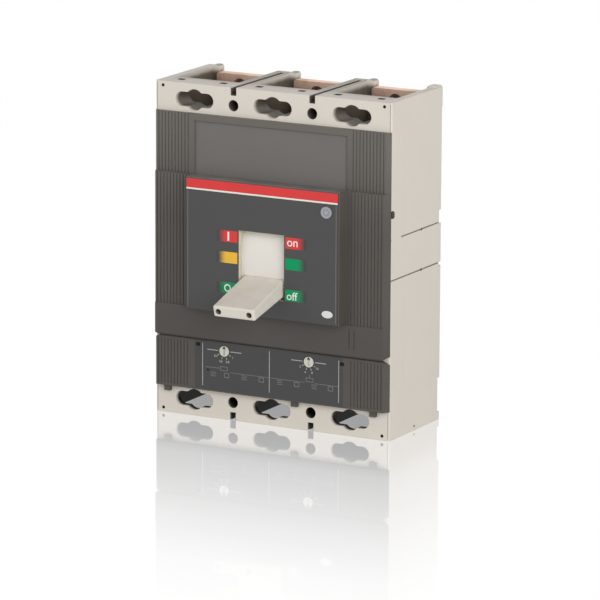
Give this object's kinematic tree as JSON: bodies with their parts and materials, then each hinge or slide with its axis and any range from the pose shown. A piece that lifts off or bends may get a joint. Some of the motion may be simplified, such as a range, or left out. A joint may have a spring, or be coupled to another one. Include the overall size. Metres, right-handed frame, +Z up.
{
  "type": "molded case circuit breaker",
  "caption": "Moulded case circuit breaker with pale case, ribbed dark cover, swinging lever, test button, trip unit dials and open terminal pockets.",
  "frame": {"origin": "centre of the four fixing holes, on the back face of the case", "axes": "+X right seen from the front, front faces -Y, +Z up towards the line terminals"},
  "size_m": [0.21, 0.1485, 0.2692],
  "materials": {
    "case_plastic": "pale grey-beige moulded thermoset, fine grain",
    "dark_plastic": "dark grey moulding, fine grain, ribbed sides",
    "plate_film": "smooth dark printed plate with a red band",
    "lever_plastic": "pale smooth moulding",
    "copper": "bare copper bar",
    "silver_contact": "silver alloy tip",
    "steel": "zinc plated steel",
    "arc_board": "vulcanised fibre board",
    "heater_alloy": "resistance alloy strip",
    "shaft_plastic": "brown moulded thermoset",
    "button_plastic": "grey-blue push button",
    "dial_plastic": "off-white rotary switch"
  },
  "bodies": {
    "case": {"arc_chute_frame_centre": "arc_board", "arc_chute_frame_left": "arc_board", "arc_chute_frame_right": "arc_board", "arc_splitter_plates_centre": "steel", "arc_splitter_plates_left": "steel", "arc_splitter_plates_right": "steel", "armature_pins": "steel", "bimetal_centre": "heater_alloy", "bimetal_left": "heater_alloy", "bimetal_right": "heater_alloy", "button_spring": "steel", "face_plate": "plate_film", "fixed_contacts": "silver_contact", "flexible_braid_centre": "copper", "flexible_braid_left": "copper", "flexible_braid_right": "copper", "front_cover": "dark_plastic", "heater_strip_centre": "heater_alloy", "heater_strip_left": "heater_alloy", "heater_strip_right": "heater_alloy", "latch_cradle": "steel", "lever_bezel": "lever_plastic", "line_terminal_centre": "copper", "line_terminal_left": "copper", "line_terminal_right": "copper", "load_terminal_centre": "copper", "load_terminal_left": "copper", "load_terminal_right": "copper", "magnet_yoke_centre": "steel", "magnet_yoke_left": "steel", "magnet_yoke_right": "steel", "main_springs": "steel", "mechanism_pins": "steel", "mechanism_plate_left": "steel", "mechanism_plate_right": "steel", "mid_cover": "case_plastic", "rear_base": "case_plastic", "trip_unit_cover": "dark_plastic", "trip_unit_frame": "shaft_plastic"},
    "handle": {"lever": "lever_plastic", "lever_shield": "lever_plastic", "handle_yoke": "steel"},
    "contact_shaft_group": {"contact_shaft": "shaft_plastic", "crank_pin": "steel", "moving_contacts": "silver_contact", "contact_arm_left": "copper", "contact_arm_centre": "copper", "contact_arm_right": "copper"},
    "upper_links": {"upper_toggle_links": "steel"},
    "lower_links": {"lower_toggle_links": "steel", "knee_pin": "steel"},
    "button": {"trip_button": "button_plastic"},
    "rod": {"test_rod": "shaft_plastic"},
    "trip_shaft": {"trip_bar": "shaft_plastic"},
    "dial_thermal": {"thermal_dial": "dial_plastic"},
    "dial_magnetic": {"magnetic_dial": "dial_plastic"},
    "armature_flap_left": {"armature_left": "steel"},
    "armature_flap_centre": {"armature_centre": "steel"},
    "armature_flap_right": {"armature_right": "steel"}
  },
  "joints": [
    {"name": "lever_swing", "type": "hinge", "parent": "case", "child": "handle", "pos_m": [0, -0.032, -0.0015], "axis": [-1, 0, 0], "range_deg": [0, 29]},
    {"name": "contact_shaft_turn", "type": "hinge", "parent": "case", "child": "contact_shaft_group", "pos_m": [0, -0.028, -0.036], "axis": [-1, 0, 0], "range_deg": [0, 28.1], "deforming": ["flexible_braid_left", "flexible_braid_centre", "flexible_braid_right"]},
    {"name": "upper_links_turn", "type": "hinge", "parent": "case", "child": "upper_links", "pos_m": [0, -0.066, -0.014], "axis": [1, 0, 0], "range_deg": [0, 43.11]},
    {"name": "lower_links_turn", "type": "hinge", "parent": "contact_shaft_group", "child": "lower_links", "pos_m": [0, -0.04716, -0.02127], "axis": [1, 0, 0], "range_deg": [0, 27.29], "deforming": ["main_springs"]},
    {"name": "button_press", "type": "slide", "parent": "case", "child": "button", "axis": [0, 1, 0], "range_m": [0, 0.003], "stiffness_N_per_m": 300, "springref_m": -0.004, "deforming": ["button_spring"]},
    {"name": "test_rod_slide", "type": "slide", "parent": "case", "child": "rod", "axis": [0, 0, -1], "range_m": [0, 0.0031]},
    {"name": "trip_bar_turn", "type": "hinge", "parent": "case", "child": "trip_shaft", "pos_m": [0, -0.056, -0.06], "axis": [1, 0, 0], "range_deg": [0, 8.5]},
    {"name": "thermal_dial_turn", "type": "hinge", "parent": "case", "child": "dial_thermal", "pos_m": [-0.0398, -0.0915, -0.0773], "axis": [0, -1, 0], "range_deg": [-120, 120]},
    {"name": "magnetic_dial_turn", "type": "hinge", "parent": "case", "child": "dial_magnetic", "pos_m": [0.0361, -0.0915, -0.0773], "axis": [0, -1, 0], "range_deg": [-120, 120]},
    {"name": "armature_left_swing", "type": "hinge", "parent": "case", "child": "armature_flap_left", "pos_m": [-0.07, -0.0498, -0.079], "axis": [-1, 0, 0], "range_deg": [0, 8], "stiffness_Nm_per_rad": 0.05, "springref_deg": -8.59},
    {"name": "armature_centre_swing", "type": "hinge", "parent": "case", "child": "armature_flap_centre", "pos_m": [0, -0.0498, -0.079], "axis": [-1, 0, 0], "range_deg": [0, 8], "stiffness_Nm_per_rad": 0.05, "springref_deg": -8.59},
    {"name": "armature_right_swing", "type": "hinge", "parent": "case", "child": "armature_flap_right", "pos_m": [0.07, -0.0498, -0.079], "axis": [-1, 0, 0], "range_deg": [0, 8], "stiffness_Nm_per_rad": 0.05, "springref_deg": -8.59}
  ],
  "couplings": [
    {"joint": "contact_shaft_turn", "follows": "lever_swing", "ratio": 0.96552},
    {"joint": "upper_links_turn", "follows": "lever_swing", "ratio": 1.4831},
    {"joint": "lower_links_turn", "follows": "lever_swing", "ratio": 0.93746},
    {"joint": "test_rod_slide", "follows": "button_press", "ratio": 1},
    {"joint": "trip_bar_turn", "follows": "button_press", "rad_per_m": 48}
  ]
}
